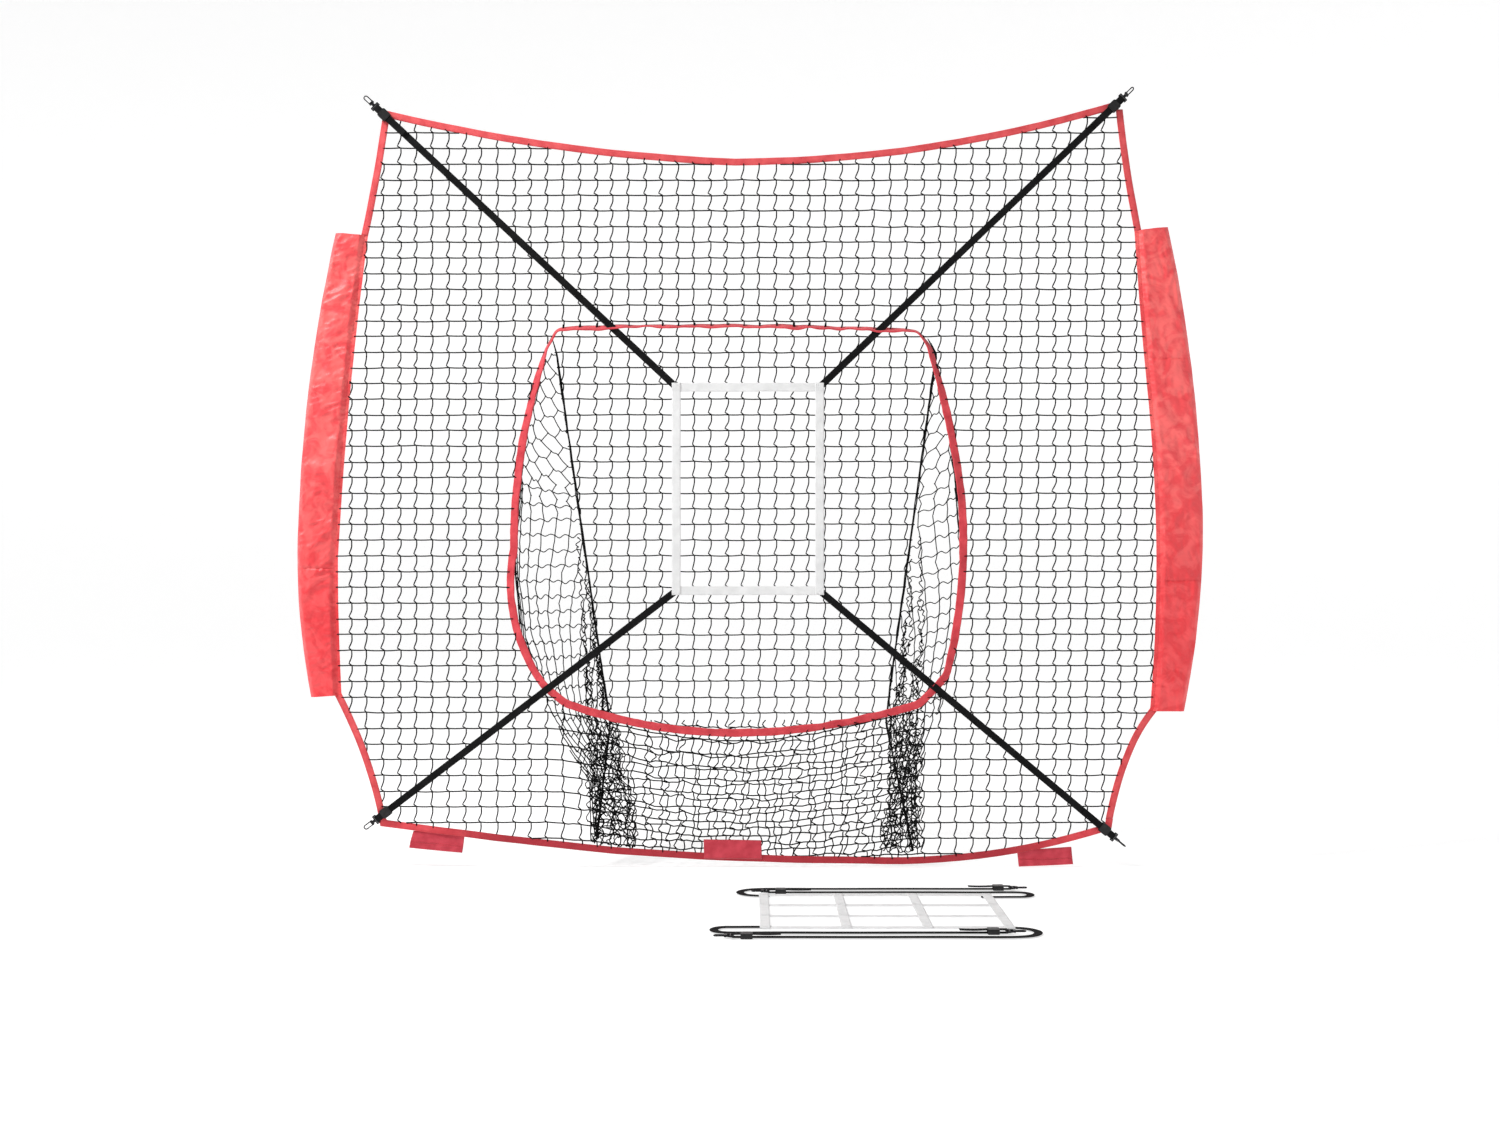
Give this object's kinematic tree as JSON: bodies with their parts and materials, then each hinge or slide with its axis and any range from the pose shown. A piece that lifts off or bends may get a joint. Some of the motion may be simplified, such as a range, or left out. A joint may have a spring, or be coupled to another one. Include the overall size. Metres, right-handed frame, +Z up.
{
  "type": "pitching target net",
  "caption": "Tensioned ball net with a pocketed mouth, pole sleeves, a strapped strike zone on swivel snap hooks and a swap-in nine-hole target.",
  "frame": {"origin": "middle of the bottom hem, on the axis of the frame's base tube", "axes": "+X to the right seen from the front, +Z up, the front faces -Y"},
  "size_m": [2.5621, 1.3594, 2.2066],
  "materials": {
    "black_net": "matte knotted twine",
    "red_binding": "woven binding with two stitch lines",
    "red_nylon": "satin woven nylon",
    "red_elastic": "ribbed elastic",
    "crimson_fabric": "doubled woven polyester",
    "white_webbing": "flat polyester webbing",
    "black_elastic": "ribbed elastic webbing",
    "black_plastic": "moulded",
    "hook_metal": "black coated, satin"
  },
  "bodies": {
    "net": {"front_net": "black_net", "pocket_back_net": "black_net", "pocket_floor_net": "black_net", "pocket_left_gusset": "black_net", "pocket_right_gusset": "black_net", "pocket_rim": "red_elastic", "top_border": "red_binding", "upper_left_border": "red_binding", "upper_right_border": "red_binding", "lower_left_border": "red_binding", "lower_right_border": "red_binding", "bottom_hem": "crimson_fabric", "left_pole_sleeve": "red_nylon", "right_pole_sleeve": "red_nylon", "left_tab": "crimson_fabric", "right_tab": "crimson_fabric", "zone_top_strip": "white_webbing", "zone_bottom_strip": "white_webbing", "zone_left_strip": "white_webbing", "zone_right_strip": "white_webbing", "strap_upper_left": "black_elastic", "strap_upper_right": "black_elastic", "strap_lower_left": "black_elastic", "strap_lower_right": "black_elastic", "swivel_eye_upper_left": "hook_metal", "swivel_eye_upper_right": "hook_metal", "swivel_eye_lower_left": "hook_metal", "swivel_eye_lower_right": "hook_metal"},
    "adjuster_upper_left": {"adjuster_upper_left": "black_plastic"},
    "adjuster_upper_right": {"adjuster_upper_right": "black_plastic"},
    "adjuster_lower_left": {"adjuster_lower_left": "black_plastic"},
    "adjuster_lower_right": {"adjuster_lower_right": "black_plastic"},
    "hook_upper_left": {"hook_upper_left": "hook_metal"},
    "gate_upper_left": {"gate_upper_left": "hook_metal"},
    "hook_upper_right": {"hook_upper_right": "hook_metal"},
    "gate_upper_right": {"gate_upper_right": "hook_metal"},
    "hook_lower_left": {"hook_lower_left": "hook_metal"},
    "gate_lower_left": {"gate_lower_left": "hook_metal"},
    "hook_lower_right": {"hook_lower_right": "hook_metal"},
    "gate_lower_right": {"gate_lower_right": "hook_metal"},
    "left_tab_flap": {"left_tab_flap": "crimson_fabric"},
    "right_tab_flap": {"right_tab_flap": "crimson_fabric"},
    "center_tab": {"center_tab": "crimson_fabric"},
    "nine_hole_target": {"panel_cross_strips": "white_webbing", "panel_upright_strips": "white_webbing", "panel_strap_far_left": "black_elastic", "panel_strap_far_right": "black_elastic", "panel_strap_near_left": "black_elastic", "panel_strap_near_right": "black_elastic", "panel_adjusters": "black_plastic", "panel_swivel_eyes": "hook_metal"},
    "panel_hook_far_left": {"panel_hook_far_left": "hook_metal"},
    "panel_gate_far_left": {"panel_gate_far_left": "hook_metal"},
    "panel_hook_far_right": {"panel_hook_far_right": "hook_metal"},
    "panel_gate_far_right": {"panel_gate_far_right": "hook_metal"},
    "panel_hook_near_left": {"panel_hook_near_left": "hook_metal"},
    "panel_gate_near_left": {"panel_gate_near_left": "hook_metal"},
    "panel_hook_near_right": {"panel_hook_near_right": "hook_metal"},
    "panel_gate_near_right": {"panel_gate_near_right": "hook_metal"}
  },
  "joints": [
    {"name": "adjuster_upper_left_slide", "type": "slide", "parent": "net", "child": "adjuster_upper_left", "axis": [0.7316, 0, -0.6818], "range_m": [0, 0.05]},
    {"name": "adjuster_upper_right_slide", "type": "slide", "parent": "net", "child": "adjuster_upper_right", "axis": [-0.7236, 0, -0.6902], "range_m": [0, 0.05]},
    {"name": "adjuster_lower_left_slide", "type": "slide", "parent": "net", "child": "adjuster_lower_left", "axis": [0.795, 0, 0.6065], "range_m": [0, 0.05]},
    {"name": "adjuster_lower_right_slide", "type": "slide", "parent": "net", "child": "adjuster_lower_right", "axis": [-0.7669, 0, 0.6418], "range_m": [0, 0.05]},
    {"name": "hook_upper_left_swivel", "type": "hinge", "parent": "net", "child": "hook_upper_left", "pos_m": [-1.05635, -0.0091, 2.13364], "axis": [-0.7316, 0, 0.6818], "continuous": true},
    {"name": "gate_upper_left_hinge", "type": "hinge", "parent": "hook_upper_left", "child": "gate_upper_left", "pos_m": [-1.07441, -0.01031, 2.14271], "axis": [-0.1417, 0.9781, -0.1521], "range_deg": [0, 22], "stiffness_Nm_per_rad": 0.001, "springref_deg": -17.19},
    {"name": "hook_upper_right_swivel", "type": "hinge", "parent": "net", "child": "hook_upper_right", "pos_m": [1.05071, -0.0091, 2.15825], "axis": [0.7236, 0, 0.6902], "continuous": true},
    {"name": "gate_upper_right_hinge", "type": "hinge", "parent": "hook_upper_right", "child": "gate_upper_right", "pos_m": [1.06218, -0.01354, 2.17434], "axis": [-0.5287, 0.6428, 0.5543], "range_deg": [0, 22], "stiffness_Nm_per_rad": 0.001, "springref_deg": -17.19},
    {"name": "hook_lower_left_swivel", "type": "hinge", "parent": "net", "child": "hook_lower_left", "pos_m": [-1.05343, -0.0091, 0.1239], "axis": [-0.795, 0, -0.6065], "continuous": true},
    {"name": "gate_lower_left_hinge", "type": "hinge", "parent": "hook_lower_left", "child": "gate_lower_left", "pos_m": [-1.06539, -0.00809, 0.10759], "axis": [-0.1053, 0.9848, 0.1381], "range_deg": [0, 22], "stiffness_Nm_per_rad": 0.001, "springref_deg": -17.19},
    {"name": "hook_lower_right_swivel", "type": "hinge", "parent": "net", "child": "hook_lower_right", "pos_m": [1.02572, -0.0091, 0.07452], "axis": [0.7669, 0, -0.6418], "continuous": true},
    {"name": "gate_lower_right_hinge", "type": "hinge", "parent": "hook_lower_right", "child": "gate_lower_right", "pos_m": [1.04125, -0.01481, 0.06284], "axis": [0.632, 0.1736, 0.7552], "range_deg": [0, 22], "stiffness_Nm_per_rad": 0.001, "springref_deg": -17.19},
    {"name": "left_tab_fold", "type": "hinge", "parent": "net", "child": "left_tab_flap", "pos_m": [-0.887, 0.0054, 0.05075], "axis": [0.9957, 0, -0.0929], "range_deg": [0, 170]},
    {"name": "right_tab_fold", "type": "hinge", "parent": "net", "child": "right_tab_flap", "pos_m": [0.836, 0.0054, 0.00825], "axis": [0.9998, 0, 0.0195], "range_deg": [0, 170]},
    {"name": "center_tab_fold", "type": "hinge", "parent": "net", "child": "center_tab", "pos_m": [-0.048, -0.0054, 0.011], "axis": [0.9999, 0, -0.0122], "range_deg": [0, 115]},
    {"name": "nine_hole_target_lift", "type": "slide", "parent": "net", "child": "nine_hole_target", "axis": [0, 0, 1], "range_m": [0, 0.6]},
    {"name": "panel_hook_far_left_swivel", "type": "hinge", "parent": "nine_hole_target", "child": "panel_hook_far_left", "pos_m": [0.685, -0.341, -0.009], "axis": [1, 0, 0], "continuous": true},
    {"name": "panel_gate_far_left_hinge", "type": "hinge", "parent": "panel_hook_far_left", "child": "panel_gate_far_left", "pos_m": [0.7044, -0.3352, -0.009], "axis": [0, 0, -1], "range_deg": [0, 22], "stiffness_Nm_per_rad": 0.001, "springref_deg": -17.19},
    {"name": "panel_hook_far_right_swivel", "type": "hinge", "parent": "nine_hole_target", "child": "panel_hook_far_right", "pos_m": [0.049, -0.389, -0.009], "axis": [-1, 0, 0], "continuous": true},
    {"name": "panel_gate_far_right_hinge", "type": "hinge", "parent": "panel_hook_far_right", "child": "panel_gate_far_right", "pos_m": [0.0296, -0.3948, -0.009], "axis": [0, 0, -1], "range_deg": [0, 22], "stiffness_Nm_per_rad": 0.001, "springref_deg": -17.19},
    {"name": "panel_hook_near_left_swivel", "type": "hinge", "parent": "nine_hole_target", "child": "panel_hook_near_left", "pos_m": [0.597, -0.891, -0.009], "axis": [1, 0, 0], "continuous": true},
    {"name": "panel_gate_near_left_hinge", "type": "hinge", "parent": "panel_hook_near_left", "child": "panel_gate_near_left", "pos_m": [0.6164, -0.8852, -0.009], "axis": [0, 0, -1], "range_deg": [0, 22], "stiffness_Nm_per_rad": 0.001, "springref_deg": -17.19},
    {"name": "panel_hook_near_right_swivel", "type": "hinge", "parent": "nine_hole_target", "child": "panel_hook_near_right", "pos_m": [-0.039, -0.939, -0.009], "axis": [-1, 0, 0], "continuous": true},
    {"name": "panel_gate_near_right_hinge", "type": "hinge", "parent": "panel_hook_near_right", "child": "panel_gate_near_right", "pos_m": [-0.0584, -0.9448, -0.009], "axis": [0, 0, -1], "range_deg": [0, 22], "stiffness_Nm_per_rad": 0.001, "springref_deg": -17.19}
  ]
}
